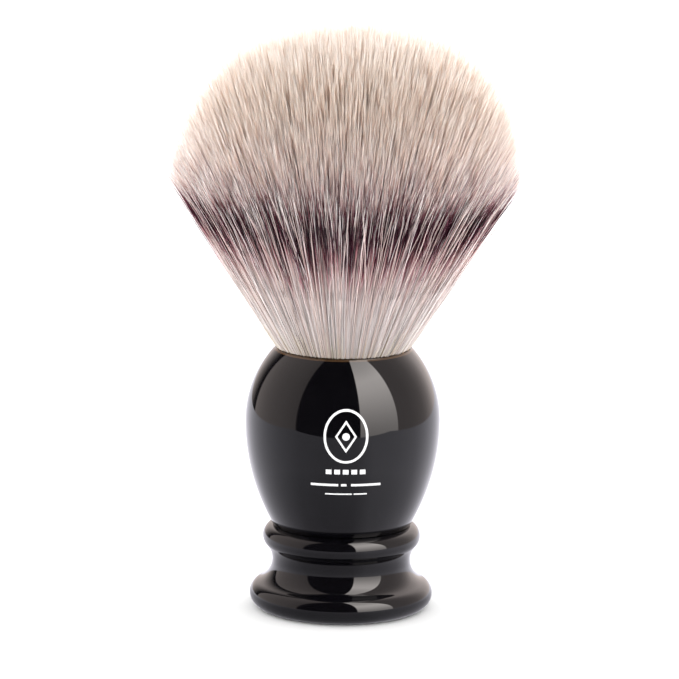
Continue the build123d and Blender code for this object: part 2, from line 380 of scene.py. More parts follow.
# On late columns the colours beyond BAND_MIDDLE are stretched, so that the dark band lasts longer: by BAND_LAG
# on the latest. They catch up over BAND_REACH. An even chance, times LATE_GAIN and with LATE_OFFSET added, says
# how late a column is from 0 to 1.
BAND_MIDDLE = 25.3
BAND_REACH = 27.0
BAND_LAG = 0.97
LATE_GAIN = 2.4
LATE_OFFSET = -1.08

# A column's brightness: LEVEL, with STREAK more along its streaks, and a share of the spread by chance. The
# spread grows with the distance from the rim, and shrinks again towards the tips.
LEVEL = 0.86
STREAK = 0.14
RIM_SPREAD, SPREAD_GROWTH = 0.10, 0.012
TIP_SPREAD, SPREAD_DECLINE = 1.27, -0.0205
STREAK_STEP = 5.3         # how far apart two columns lie in the streaks' noise,
STREAK_RATE = 0.28        # and how fast it changes along a fibre

WARM_ABOVE = 0.78         # columns with a higher chance than this are tinted, by this share
WARM_SHARE = 0.4
WARM_TINT = (0.95, 0.72, 0.62)

FIBRE_R = 0.066           # a fibre's radius along its shaft
FLANK_FIBRE_R = 0.080     # the flank's stouter fibres
LIGHT_DEPTH = 2 * FIBRE_R  # how far light goes in a fibre

# A fibre's colour by its distance from the rim: pale root, dark band, pale tip.
BANDED = [(0.0, (0.53, 0.465, 0.385)), (0.8, (0.585, 0.52, 0.445)), (2.2, (0.585, 0.52, 0.505)),
          (10.3, (0.645, 0.57, 0.555)), (16.3, (0.59, 0.46, 0.455)), (19.6, (0.34, 0.160, 0.18)),
          (22.4, (0.050, 0.012, 0.021)), (28.5, (0.018, 0.004, 0.008)), (31.0, (0.15, 0.055, 0.066)),
          (33.5, (0.56, 0.385, 0.36)), (36.5, (0.70, 0.55, 0.48)), (43.0, (0.64, 0.505, 0.415)),
          (49.0, (0.665, 0.535, 0.44)), (60.0, (0.73, 0.62, 0.535))]
LIGHT = [(0.0, (0.53, 0.465, 0.385)), (0.8, (0.595, 0.53, 0.455)), (2.2, (0.635, 0.57, 0.555)),
         (14.0, (0.69, 0.605, 0.595)), (20.0, (0.60, 0.49, 0.49)), (28.0, (0.61, 0.50, 0.50)),
         (33.0, (0.86, 0.765, 0.75)), (40.0, (0.83, 0.725, 0.69)), (46.0, (0.71, 0.58, 0.49)),
         (60.0, (0.74, 0.64, 0.555))]


def lateness(tree, chance, distance):
    """How far a column's colours trail at this distance along it."""
    over = maths(tree, "MAXIMUM", maths(tree, "SUBTRACT", distance, BAND_MIDDLE), 0.0)
    catch_up = maths(tree, "POWER", maths(tree, "DIVIDE", over, BAND_REACH, clamp=True), 2.0)
    late = scaled(tree, chance, LATE_GAIN, LATE_OFFSET, clamp=True)
    lag = scaled(tree, maths(tree, "SUBTRACT", 1.0, catch_up), scaled(tree, late, BAND_LAG))
    return scaled(tree, over, lag)


def grey(tree, level):
    """A level as a colour."""
    return add(tree, "CombineXYZ", {0: level, 1: level, 2: level}).outputs[0]


def fibre_material(name, columns):
    """Synthetic fibres. The UV's width holds one fibre's colouring in each column, and its height is the length."""
    made, tree, shader = node_material(name)
    uv = add(tree, "UVMap", uv_map=BAKE_UV).outputs[0]
    axes = add(tree, "SeparateXYZ", {0: uv})
    column = maths(tree, "FLOOR", scaled(tree, axes.outputs["X"], float(columns)))
    chance = add(tree, "TexWhiteNoise", {"W": maths(tree, "ADD", column, CHANCE_SEED)}, noise_dimensions="1D")
    chances = add(tree, "SeparateColor", {0: chance.outputs["Color"]})
    distance = scaled(tree, axes.outputs["Y"], FIBRE_SPAN)

    shift = scaled(tree, maths(tree, "SUBTRACT", chances.outputs[0], 0.5), BAND_SHIFT)
    shift = maths(tree, "SUBTRACT", shift, lateness(tree, chance.outputs["Value"], distance))
    shifted = maths(tree, "DIVIDE", maths(tree, "ADD", distance, shift), FIBRE_SPAN)
    banded = ramp(tree, shifted, [(place / FIBRE_SPAN, colour) for place, colour in BANDED])
    light = ramp(tree, axes.outputs["Y"], [(place / FIBRE_SPAN, colour) for place, colour in LIGHT])
    fraction = maths(tree, "FRACT", scaled(tree, column, LIGHT_STRIDE))
    colour = mixed(tree, maths(tree, "GREATER_THAN", fraction, LIGHT_ABOVE), banded, light)

    streak_place = add(tree, "CombineXYZ", {0: scaled(tree, column, STREAK_STEP),
                                            1: scaled(tree, distance, STREAK_RATE)}).outputs[0]
    streak = noise(tree, streak_place, scale=1.0, detail=2.0)
    spread = maths(tree, "MINIMUM", scaled(tree, distance, SPREAD_GROWTH, RIM_SPREAD),
                   scaled(tree, distance, SPREAD_DECLINE, TIP_SPREAD))
    level = scaled(tree, maths(tree, "SUBTRACT", chances.outputs[1], 0.5), spread, LEVEL)
    level = scaled(tree, streak, STREAK, level)
    colour = mixed(tree, 1.0, colour, grey(tree, level), "MULTIPLY")
    warm = scaled(tree, maths(tree, "GREATER_THAN", chances.outputs[2], WARM_ABOVE), WARM_SHARE)
    colour = mixed(tree, warm, colour, WARM_TINT, "MULTIPLY")

    # The fibres' feet just over the rim take the dark brown of the rim line.
    lowest_edge = HANDLE_TOP_Z + RIM_LINE_HEIGHT - RIM_LINE_UNEVEN / 2
    rim_line_edge = scaled(tree, chances.outputs[2], RIM_LINE_UNEVEN * MM, lowest_edge * MM)
    in_rim_line = maths(tree, "LESS_THAN", height_of(tree, object_place(tree)), rim_line_edge)
    fill(tree, shader, {"Base Color": mixed(tree, in_rim_line, colour, RIM_LINE_BROWN), "Specular IOR Level": 0.02,
                        "Roughness": scaled(tree, streak, 0.25, 0.30), "Subsurface Weight": 0.8,
                        "Subsurface Radius": (1.0, 1.0, 1.0), "Subsurface Scale": LIGHT_DEPTH * MM})
    return made


# ------------ the handle and the glue

BEAD_TOP_INSET = 0.1      # how far inside the bulb's bottom edge the bead's rounded top ends


def handle_runs():
    """The handle's outline, from the foot's inner edge up the outside, down the socket and round the recess."""
    foot_centre = (FOOT_SECTION_CENTRE_R, FOOT_SECTION_R)
    bead_centre = (BEAD_SECTION_CENTRE_R, BEAD_SECTION_CENTRE_Z)
    foot_reach = COVE_R + FOOT_SECTION_R
    bead_reach = COVE_R + BEAD_SECTION_R
    across = FOOT_SECTION_CENTRE_R - BEAD_SECTION_CENTRE_R
    down = BEAD_SECTION_CENTRE_Z - FOOT_SECTION_R
    span = hypot(across, down)
    along = (bead_reach ** 2 - foot_reach ** 2 + span ** 2) / (2 * span)
    off = sqrt(bead_reach ** 2 - along ** 2)
    cove = (BEAD_SECTION_CENTRE_R + (along * across + off * down) / span,
            BEAD_SECTION_CENTRE_Z + (off * across - along * down) / span)
    foot_to_cove = between(foot_centre, cove, FOOT_SECTION_R)
    cove_to_bead = between(bead_centre, cove, BEAD_SECTION_R)
    bulb_bottom = (bulb_radius(BULB_BOTTOM_Z), BULB_BOTTOM_Z)
    bead_top_r = bulb_bottom[0] - BEAD_TOP_INSET
    bead_rise = sqrt(BEAD_SECTION_R ** 2 - (bead_top_r - BEAD_SECTION_CENTRE_R) ** 2)
    bead_top = (bead_top_r, BEAD_SECTION_CENTRE_Z + bead_rise)
    groove = (bead_top_r - GROOVE_DEPTH, (bead_top[1] + bulb_bottom[1]) / 2)
    rim_outer = (bulb_radius(HANDLE_TOP_Z - RIM_ROUND_R), HANDLE_TOP_Z - RIM_ROUND_R)
    rim_top = (rim_outer[0] - RIM_ROUND_R, HANDLE_TOP_Z)
    foot_side = (FOOT_SECTION_CENTRE_R + FOOT_SECTION_R, FOOT_SECTION_R)
    widest = (BULB_WIDEST_R, BULB_WIDEST_Z)
    lower = ([(RECESS_R, 0)] + arc(foot_centre, (FOOT_SECTION_CENTRE_R, 0), foot_side)
             + arc(foot_centre, foot_side, foot_to_cove)[1:]
             + arc(cove, foot_to_cove, cove_to_bead)[1:]
             + arc(bead_centre, cove_to_bead, bead_top)[1:])
    bulb = (arc((BULB_WIDEST_R - BULB_LOWER_R, BULB_WIDEST_Z), bulb_bottom, widest)
            + arc((BULB_WIDEST_R - BULB_UPPER_R, BULB_WIDEST_Z), widest, rim_outer)[1:])
    return [lower, *straight(bead_top, groove, bulb_bottom), bulb,
            arc((rim_top[0], rim_outer[1]), rim_outer, rim_top, RIM_ROUND_R / 3),
            *straight(rim_top, (MOUTH_R, HANDLE_TOP_Z), (SOCKET_R, MOUTH_BOTTOM_Z), (SOCKET_R, SOCKET_FLOOR_Z),
                      (0, SOCKET_FLOOR_Z), (0, RECESS_DEPTH), (RECESS_R - RECESS_WALL_SLOPE, RECESS_DEPTH),
                      (RECESS_R, 0))]


def glue_runs():
    """The glue's outline: a film in the socket round the ring, and a bead that stands above the rim."""
    bundle_at_ring = (FERRULE_BORE_R + FERRULE_CHAMFER, FERRULE_TOP_Z)
    bundle_at_mouth = (flank_radius(MOUTH_BOTTOM_Z), MOUTH_BOTTOM_Z)
    bundle_at_glue = (flank_radius(HANDLE_TOP_Z + GLUE_BEAD_HEIGHT), HANDLE_TOP_Z + GLUE_BEAD_HEIGHT)
    around_socket = straight((0, SOCKET_FLOOR_Z), (SOCKET_R, SOCKET_FLOOR_Z), (SOCKET_R, MOUTH_BOTTOM_Z),
                             (MOUTH_R, HANDLE_TOP_Z), bundle_at_glue)
    around_ring = straight(bundle_at_ring, (FERRULE_R, FERRULE_TOP_Z), (FERRULE_R, FERRULE_BOTTOM_Z),
                           (0, FERRULE_BOTTOM_Z))
    return [*around_socket, [bundle_at_glue, bundle_at_mouth, bundle_at_ring], *around_ring]


handle = turned("handle_turned", handle_runs(), 288, resin_material())
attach(handle, "handle")
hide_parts("handle")

glue = turned("socket_glue", glue_runs(), 192, glue_material())
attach(glue, "handle")
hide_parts("socket_adhesive")

inner_finishes = {
    "knot_ferrule": moulded_material("ring_plastic", (0.045, 0.045, 0.05), (0.06, 0.06, 0.065), 0.35, 1500.0),
    "potting_plug": moulded_material("potting_resin", (0.40, 0.30, 0.16), (0.52, 0.41, 0.24), 0.20, 700.0),
    "binding_cord": cord_material(),
}
for node, finish in inner_finishes.items():
    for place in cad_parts[node].material_slots:
        place.material = finish


# ------------ the printed mark

PRINT_HEIGHT = 0.03       # the ink's thickness
PRINT_SUNK = 0.02         # how far its back lies inside the resin
MARK_RIGHT = 0.57         # how far the mark's middle lies to the right of the bulb's
EMBLEM_Z = 32.4           # the emblem's centre
EMBLEM_HALF_WIDTH = 3.7   # its oval ring
EMBLEM_HALF_HEIGHT = 4.5
EMBLEM_LINE = 0.40
LOZENGE_HALF_WIDTH = 1.8  # the lozenge inside the ring
LOZENGE_HALF_HEIGHT = 2.7
LOZENGE_LINE = 0.38
DOT_R = 0.62              # the dot in the middle, filled almost to its centre
DOT_FILL = 0.56
BAR_PIECE = 0.3           # the length of a bar's faces


def film(name, across, up, place, material, closed=False):
    """A thin closed film of ink on the bulb's front. place(s, t) gives the millimetres to the right and up."""
    s = np.linspace(0, 1, across + 1)[:-1] if closed else np.linspace(0, 1, across + 1)
    t = np.linspace(0, 1, up + 1)
    flat = np.array([[place(a, b) for a in s] for b in t])
    rows, columns = flat.shape[:2]
    height = flat[:, :, 1]
    radius = np.vectorize(bulb_radius)(height)
    angle = (flat[:, :, 0] + MARK_RIGHT) / radius
    layers = [np.stack([(radius + d) * np.sin(angle), -(radius + d) * np.cos(angle), height], 2).reshape(-1, 3)
              for d in (PRINT_HEIGHT, -PRINT_SUNK)]
    count = rows * columns
    faces = []
    for j in range(rows - 1):
        for i in range(columns if closed else columns - 1):
            a, b = j * columns + i, j * columns + (i + 1) % columns
            faces.append((a, b, b + columns, a + columns))
            faces.append((count + a + columns, count + b + columns, count + b, count + a))
            if j == 0:
                faces.append((count + a, count + b, b, a))
            if j == rows - 2:
                faces.append((a + columns, b + columns, count + b + columns, count + a + columns))
        if not closed:
            a, b = j * columns, j * columns + columns - 1
            faces.append((count + a, a, a + columns, count + a + columns))
            faces.append((b, count + b, count + b + columns, b + columns))
    faces = np.array(faces)
    vertices = np.concatenate(layers)
    span = vertices.max(0) - vertices.min(0)
    uv = ((vertices - vertices.min(0)) / span)[faces][:, :, [0, 2]]
    mesh = mesh_from(name, vertices, [faces], [uv])
    mesh.shade_flat()
    return new_object(name, mesh, material)


def round_line(centre_z, half_width, half_height, line):
    """A place() for an oval ring, or for a disc where the line is almost as wide as the radius."""
    def place(s, t):
        inward, turn = line * (1 - t), 2 * pi * s
        return (half_width - inward) * sin(turn), centre_z + (half_height - inward) * cos(turn)
    return place


def lozenge_line(centre_z, half_width, half_height, line):
    """A place() for the outline of a lozenge."""
    corners = [(0, half_height), (half_width, 0), (0, -half_height), (-half_width, 0)]

    def place(s, t):
        side = int(s * 4) % 4
        share = s * 4 - int(s * 4)
        start, end = corners[side], corners[(side + 1) % 4]
        scale = 1 - (1 - t) * line / min(half_width, half_height)
        return (scale * (start[0] + (end[0] - start[0]) * share),
                centre_z + scale * (start[1] + (end[1] - start[1]) * share))
    return place


def bar(centre_x, centre_z, width, height):
    """A place() for a plain bar."""
    return lambda s, t: (centre_x + (s - 0.5) * width, centre_z + (t - 0.5) * height)


ink = print_material()
ring = round_line(EMBLEM_Z, EMBLEM_HALF_WIDTH, EMBLEM_HALF_HEIGHT, EMBLEM_LINE)
lozenge = lozenge_line(EMBLEM_Z, LOZENGE_HALF_WIDTH, LOZENGE_HALF_HEIGHT, LOZENGE_LINE)
dot = round_line(EMBLEM_Z, DOT_R, DOT_R, DOT_FILL)
marks = [film("mark_ring", 120, 2, ring, ink, closed=True),
         film("mark_lozenge", 64, 2, lozenge, ink, closed=True),
         film("mark_dot", 40, 3, dot, ink, closed=True)]
# Each row of bars: its height on the bulb, the bars' height, and each bar's centre and width.
ROWS = [(26.4, 0.80, [(-2.8, 0.95), (-1.4, 0.95), (0.0, 0.95), (1.4, 0.95), (2.8, 0.95)]),
        (24.1, 0.40, [(-3.5, 4.6), (-0.3, 0.9), (3.4, 5.0)]),
        (22.5, 0.23, [(-1.15, 4.4), (2.45, 2.2)])]
for row, (z, height, bars) in enumerate(ROWS, 1):
    for number, (x, width) in enumerate(bars, 1):
        across = max(3, round(width / BAR_PIECE))
        marks.append(film(f"mark_row{row}_bar{number}", across, 2, bar(x, z, width, height), ink))
for mark in marks:
    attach(mark, "handle")


# ------------ the tuft's envelope

flank_top_r = flank_radius(FLANK_TOP_Z)
shoulder_centre = (flank_top_r - SHOULDER_R * cos(FLANK_ANGLE), FLANK_TOP_Z + SHOULDER_R * sin(FLANK_ANGLE))
dome_centre_z = shoulder_centre[1] - sqrt((DOME_R - SHOULDER_R) ** 2 - shoulder_centre[0] ** 2)
shoulder_end_r = between((0, dome_centre_z), shoulder_centre, DOME_R)[0]


def reach(angle):
    """How far from the apex a fibre at this angle to the axis meets the tuft's dome or its shoulder."""
    def far_side(centre_r, centre_z, radius):
        along = centre_r * np.sin(angle) + (centre_z - APEX_Z) * np.cos(angle)
        off = centre_r ** 2 + (centre_z - APEX_Z) ** 2 - along ** 2
        return along + np.sqrt(np.maximum(radius ** 2 - off, 0))
    dome = far_side(0, dome_centre_z, DOME_R)
    shoulder = far_side(*shoulder_centre, SHOULDER_R)
    return np.where(dome * np.sin(angle) < shoulder_end_r, dome, shoulder)


# ------------ fibres

rng = np.random.default_rng(20)  # every draw below comes from it, in a fixed order

FLANK_FIBRES = 5000       # on the flank, modelled from inside the mouth to their tips
DOME_FIBRES = 24000       # ending on the dome, modelled for a stretch before their tips
LOOSE_FIBRES = 320        # standing out from the rest
STRAND_BASE_Z = 43.0      # where the modelled fibres start, inside the mouth
OUTER_LAYER = 0.955       # the flank's fibres lean beyond this share of the flank's angle,
OUTERMOST = 1.0           # as far as this one
LOOSE_LAYER = 0.93
DOME_DEPTH = (11.0, 17.0)  # the shortest and longest stretch modelled on the dome
COLUMN_MARGIN = 0.12      # the share of a UV column left free at each side of a fibre
TIP_LENGTH = 6.0          # the length over which a fibre tapers to its point
TAPER = 0.6               # below 1, the point is blunter than a cone

# Fibres gather in clumps, and clumps in locks, over a stretch of height above the rim.
CLUMPS, CLUMP_PULL, CLUMP_STRETCH = 900, (0.06, 0.36), (3.0, 26.0)
LOCKS, LOCK_PULL, LOCK_STRETCH = 110, 0.03, (8.0, 34.0)
CLUMP_SHORT = 0.22        # how unevenly long the clumps are
OUTERMOST_CENTRE = 1.01   # the share of the flank's angle at which the outermost gathering leans
OWN_COLOUR = 0.34         # the share of fibres that take their clump's colouring

# The tuft's width against straight lines from the apex: more at the rim, swelling just above it, then less.
RIM_WIDTH = 1.012
SWELL, SWELL_HEIGHT = 0.014, 1.4
SLIMMING, SLIMMING_HEIGHT = 0.0020, 23.0

BOW_LENGTH = 30.0         # a fibre bows by its height squared over this, times its own bend,
OUTWARD_BOW = 0.6         # and outwards by this share of that
LIFT, LIFT_STRETCH = 0.06, (3, 18)  # how far fibres stand off the flank,
CROSS_LIFT = 2.0          # and how much farther where they cross others
CROSS_STRETCH = (3, 20)
WAVE_SIZE, WAVE_LENGTHS = 0.06, (9, 22)
STEADY_WAVE, WAVE_WANDER = 0.5, 0.03  # what the wave's size owes to the fibre's wander

# How far the tips go past the CAD's envelope: everywhere, more from the dome's middle to its shoulder, more at
# the flank, and more on the right than on the left. Shares are of the flank's angle.
PAST_DOME = 1.3
PAST_SHOULDER, SHOULDER_SHARES = 1.8, (0.12, 0.50)
PAST_FLANK, FLANK_SHARES = 0.9, (0.90, 1.0)
LEAN, LEAN_END_SHARES = 1.3, (0.8, 0.97)
UNEVEN_TIPS = 0.80        # how far the tips fall short of that,
UNEVEN_ALLOWANCE = 0.9    # what is added for it,
SHORT_FIBRES, SHORTEST = 0.18, 3.5  # and the share that falls shorter still, by up to so much

# The kinds of fibre: the share without a dark band, how far they wander and how far they cross the others.
FLANK_KIND = (0.21, 0.026, 0.007)
CROSSING_SHARE, CROSSING_KIND = 0.22, (0.60, 0.050, 0.040)
DOME_KIND = (0.27, 0.018, 0.008)
LOOSE_KIND = (0.5, 0.05, 0.045)
LOOSE_TIPS = (-1.0, 1.6)  # how much shorter or longer than the rest the loose ones are


def smooth_share(value, start, end):
    """0 up to the start, 1 from the end on, and smoothly from one to the other between them."""
    share = np.clip((value - start) / (end - start), 0, 1)
    return share * share * (3 - 2 * share)


def random_slopes(count, inner, outer):
    """Slopes (x and y for each unit of height) spread evenly over the fan between two shares of its angle."""
    share = np.sqrt(rng.uniform(inner ** 2, outer ** 2, count))
    turn = rng.uniform(0, 2 * pi, count)
    slope = np.tan(share * FLANK_ANGLE)
    return np.stack([slope * np.cos(turn), slope * np.sin(turn)], 1), share


def nearest(points, centres):
    """The index of the nearest centre to each point."""
    found = [np.argmin(((part[:, None] - centres[None]) ** 2).sum(2), 1) for part in np.array_split(points, 40)]
    return np.concatenate(found)


clump_slopes, _ = random_slopes(CLUMPS, 0, OUTERMOST_CENTRE)
lock_slopes, _ = random_slopes(LOCKS, 0, OUTERMOST_CENTRE)
all_variants = np.arange(VARIANTS)
is_light_variant = (all_variants * LIGHT_STRIDE) % 1 > LIGHT_ABOVE
light_variants, banded_variants = all_variants[is_light_variant], all_variants[~is_light_variant]
clump_variant = rng.choice(banded_variants, CLUMPS)
clump_pull = rng.uniform(*CLUMP_PULL, CLUMPS)
clump_short = np.abs(rng.normal(0, CLUMP_SHORT, CLUMPS))


def tube_mesh(name, centres, radii, distance, variant, turn, pointed):
    """Three-sided fibres. centres is fibre by ring by xyz, and a pointed fibre ends in its last ring's centre."""
    count, rings = centres.shape[:2]
    full = rings - 1 if pointed else rings
    turn = turn[:, None] + 2 * pi * np.arange(3) / 3
    corner = np.stack([np.cos(turn), np.sin(turn), np.zeros_like(turn)], 2)
    vertices = centres[:, :full, None] + radii[:, :full, None, None] * corner[:, None]
    vertices = vertices.reshape(count, full * 3, 3)
    if pointed:
        vertices = np.concatenate([vertices, centres[:, -1:]], 1)
    stride = vertices.shape[1]
    first = stride * np.arange(count)[:, None, None]
    ring, side = np.arange(full - 1)[None, :, None], np.arange(3)[None, None]
    right = (side + 1) % 3
    quads = np.stack([first + ring * 3 + side, first + ring * 3 + right, first + ring * 3 + 3 + right,
                      first + ring * 3 + 3 + side], 3).reshape(-1, 4)
    width = 1 - 2 * COLUMN_MARGIN
    u_left = (variant[:, None, None] + COLUMN_MARGIN + width * side / 3) / VARIANTS
    u_right = (variant[:, None, None] + COLUMN_MARGIN + width * (side + 1) / 3) / VARIANTS
    v = np.clip(distance / FIBRE_SPAN, *V_RANGE)
    v_low, v_high = v[:, :full - 1, None], v[:, 1:full, None]
    quad_uv = corner_uvs((u_left, v_low), (u_right, v_low), (u_right, v_high), (u_left, v_high))
    faces, uvs = [quads], [quad_uv.reshape(-1, 4, 2)]
    if pointed:
        base = (first + (full - 1) * 3)[:, 0]
        tip = np.broadcast_to(first[:, 0] + full * 3, (count, 3))
        faces.append(np.stack([base + np.arange(3), base + (np.arange(3) + 1) % 3, tip], 2).reshape(-1, 3))
        left, right, base_v = u_left[:, 0], u_right[:, 0], v[:, full - 1, None]
        tip_uv = corner_uvs((left, base_v), (right, base_v), ((left + right) / 2, v[:, full, None]))
        uvs.append(tip_uv.reshape(-1, 3, 2))
    return new_object(name, mesh_from(name, vertices.reshape(-1, 3), faces, uvs), fibre)


fibre = fibre_material("synthetic_fibre", VARIANTS)

BAND_CENTRE = 29.0        # the dark band's middle, by its distance from the rim
BAND_HALF_WIDTH = 12.0
# Painted side light: the dark band is narrowed at the tuft's left and right so that those sides read lighter.
SIDE_LIGHT_NARROWING = 0.70     # how much narrower the band is at the tuft's left and right


def colour_distance_with_side_light(distance, slope_x):
    """The distance that gives a fibre its colour: it runs through the dark band faster at the tuft's left and right
    sides, a painted side light.
    """
    off = distance - BAND_CENTRE
    near = np.exp(-(off / BAND_HALF_WIDTH) ** 2)
    return distance + SIDE_LIGHT_NARROWING * (slope_x / FLANK_SLOPE) ** 2 * off * near


class Fibres:
    """A set of fibres, each a line of height: slope times the height over the apex, plus its own wander."""

    def __init__(self, slopes, top, kind, radius):
        count = len(slopes)
        light_share, wander, crossing = (np.broadcast_to(value, count) for value in kind)
        self.slopes, self.top = slopes, top
        self.variant = choose_variants(slopes, light_share)
        self.radius = np.full(count, radius)
        self.clump = nearest(slopes, clump_slopes)
        self.lock = nearest(slopes, lock_slopes)
        turn = np.arctan2(slopes[:, 1], slopes[:, 0])
        self.out = np.stack([np.cos(turn), np.sin(turn)], 1)
        self.side = np.stack([-np.sin(turn), np.cos(turn)], 1)
        self.bend = rng.normal(0, 1, (count, 2)) * wander[:, None]
        self.cross = rng.normal(0, 1, count) * crossing
        self.wave = rng.uniform(0, 2 * pi, (count, 2))
        self.wave_length = rng.uniform(*WAVE_LENGTHS, (count, 2))
        self.wave_size = np.abs(rng.normal(0, WAVE_SIZE, (count, 2)))
        self.wave_size = self.wave_size * (STEADY_WAVE + wander[:, None] / WAVE_WANDER)
        self.lift = np.abs(rng.normal(0, LIFT, count)) + CROSS_LIFT * np.abs(self.cross)
        self.turn = rng.uniform(0, 2 * pi, count)

    def centres(self, heights):
        """Each fibre's centre at its own heights: fibre by ring by xyz."""
        free = np.maximum(heights - HANDLE_TOP_Z, 0)
        gather = smooth_share(free, *CLUMP_STRETCH)
        pull = clump_pull[self.clump][:, None] * gather
        weak = LOCK_PULL * smooth_share(free, *LOCK_STRETCH)
        slope = (self.slopes[:, None] + pull[:, :, None] * (clump_slopes[self.clump] - self.slopes)[:, None]
                 + weak[:, :, None] * (lock_slopes[self.lock] - self.slopes)[:, None])
        wider = (RIM_WIDTH + SWELL * smooth_share(free, 0.0, SWELL_HEIGHT)
                 - SLIMMING * np.minimum(free, SLIMMING_HEIGHT))
        flat = slope * ((heights - APEX_Z) * wider)[:, :, None]
        bow = free ** 2 / BOW_LENGTH

        def wave(axis):
            turn = 2 * pi * free / self.wave_length[:, axis, None] + self.wave[:, axis, None]
            return self.wave_size[:, axis, None] * np.sin(turn) * gather

        side = bow * self.bend[:, :1] + free * smooth_share(free, *CROSS_STRETCH) * self.cross[:, None]
        side = side + wave(0)
        out = bow * self.bend[:, 1:] * OUTWARD_BOW + self.lift[:, None] * smooth_share(free, *LIFT_STRETCH)
        out = out + wave(1)
        flat = flat + side[:, :, None] * self.side[:, None] + out[:, :, None] * self.out[:, None]
        return np.concatenate([flat, heights[:, :, None]], 2)

    def distance(self, heights):
        """The distance along each fibre from the rim."""
        distance = (heights - HANDLE_TOP_Z) * np.sqrt(1 + (self.slopes ** 2).sum(1))[:, None]
        # The colour distance carries the painted side light at the tuft's left and right.
        return colour_distance_with_side_light(distance, self.slopes[:, :1])

    def radii(self, heights):
        """The fibre's radius: full along its shaft, and tapering towards its top."""
        return self.radius[:, None] * np.clip((self.top[:, None] - heights) / TIP_LENGTH, 0.0, 1.0) ** TAPER

    def build(self, name, bottom, top, rings, pointed):
        """A mesh of the stretch between two heights, each one number or one for each fibre."""
        count = len(self.slopes)
        low, high = (np.broadcast_to(h, count)[:, None] for h in (bottom, top))
        heights = low + (high - low) * np.linspace(0, 1, rings)[None]
        return tube_mesh(name, self.centres(heights), self.radii(heights), self.distance(heights), self.variant,
                         self.turn, pointed)

    def part(self, chosen):
        """The same fibres, only those chosen."""
        made = object.__new__(Fibres)
        for key, value in vars(self).items():
            setattr(made, key, value[chosen])
        return made


def choose_variants(slopes, light_share):
    """Each fibre's colouring: often its clump's own, sometimes one without a band."""
    count = len(slopes)
    own = clump_variant[nearest(slopes, clump_slopes)]
    variant = np.where(rng.random(count) < OWN_COLOUR, own, rng.choice(banded_variants, count))
    return np.where(rng.random(count) < light_share, rng.choice(light_variants, count), variant)


def tip_heights(slopes, share):
    """The height of each fibre's tip: on the envelope, a little uneven, and some fibres well short of it."""
    angle = np.arctan(np.hypot(*slopes.T))
    count = len(slopes)
    full = (reach(angle) + PAST_DOME + PAST_SHOULDER * smooth_share(share, *SHOULDER_SHARES)
            + PAST_FLANK * smooth_share(share, *FLANK_SHARES))
    full = full + LEAN * slopes[:, 0] / FLANK_SLOPE * (1 - smooth_share(share, *LEAN_END_SHARES))
    short = np.abs(rng.normal(0, UNEVEN_TIPS, count)) + clump_short[nearest(slopes, clump_slopes)]
    short += np.where(rng.random(count) < SHORT_FIBRES, rng.uniform(0, SHORTEST, count), 0)
    return APEX_Z + (full + UNEVEN_ALLOWANCE - short) * np.cos(angle)


slopes, share = random_slopes(FLANK_FIBRES, OUTER_LAYER, OUTERMOST)
crosses = rng.random(FLANK_FIBRES) < CROSSING_SHARE
kind = [np.where(crosses, a, b) for a, b in zip(CROSSING_KIND, FLANK_KIND)]
flank = Fibres(slopes, tip_heights(slopes, share), kind, FLANK_FIBRE_R)

slopes, share = random_slopes(DOME_FIBRES, 0, OUTER_LAYER)
dome = Fibres(slopes, tip_heights(slopes, share), DOME_KIND, FIBRE_R)

slopes, share = random_slopes(LOOSE_FIBRES, LOOSE_LAYER, OUTERMOST)
loose_top = tip_heights(slopes, share) + rng.uniform(*LOOSE_TIPS, LOOSE_FIBRES)
loose = Fibres(slopes, loose_top, LOOSE_KIND, FIBRE_R)

lower_pieces = [flank.build("fibres_flank_lower", STRAND_BASE_Z, BEND_SPLIT_Z, rings=5, pointed=False),
                loose.build("fibres_loose_lower", STRAND_BASE_Z, BEND_SPLIT_Z, rings=6, pointed=False)]
upper_pieces = [flank.build("fibres_flank_upper", BEND_SPLIT_Z, flank.top, rings=8, pointed=True),
                loose.build("fibres_loose_upper", BEND_SPLIT_Z, loose.top, rings=9, pointed=True)]
DOME_PIECES = 5
dome_bottom = dome.top - rng.uniform(*DOME_DEPTH, DOME_FIBRES) / np.sqrt(1 + (dome.slopes ** 2).sum(1))
for number in range(DOME_PIECES):
    chosen = np.arange(number, DOME_FIBRES, DOME_PIECES)
    part = dome.part(chosen)
    upper_pieces.append(part.build(f"fibres_dome_{number + 1}", dome_bottom[chosen], part.top, rings=6, pointed=True))


# ------------ the tuft's core

CORE_SHARE = OUTER_LAYER - 0.005  # the core's side, as a share of the flank's angle
CORE_UNDER_DOME = 8.0     # how far its top lies inside the envelope
CORE_COLUMNS = 720
CORE_CLEARANCE = 0.06     # inside the cord, the plug and the ring


def core_top():
    """The core's outline from its side over the top to the axis."""
    angle = np.linspace(CORE_SHARE * FLANK_ANGLE, 0, 60)
    length = reach(angle) - CORE_UNDER_DOME
    return list(zip(length * np.sin(angle), APEX_Z + length * np.cos(angle)))


def core_side(z):
    """A point on the core's straight side."""
    return ((z - APEX_Z) * tan(CORE_SHARE * FLANK_ANGLE), z)


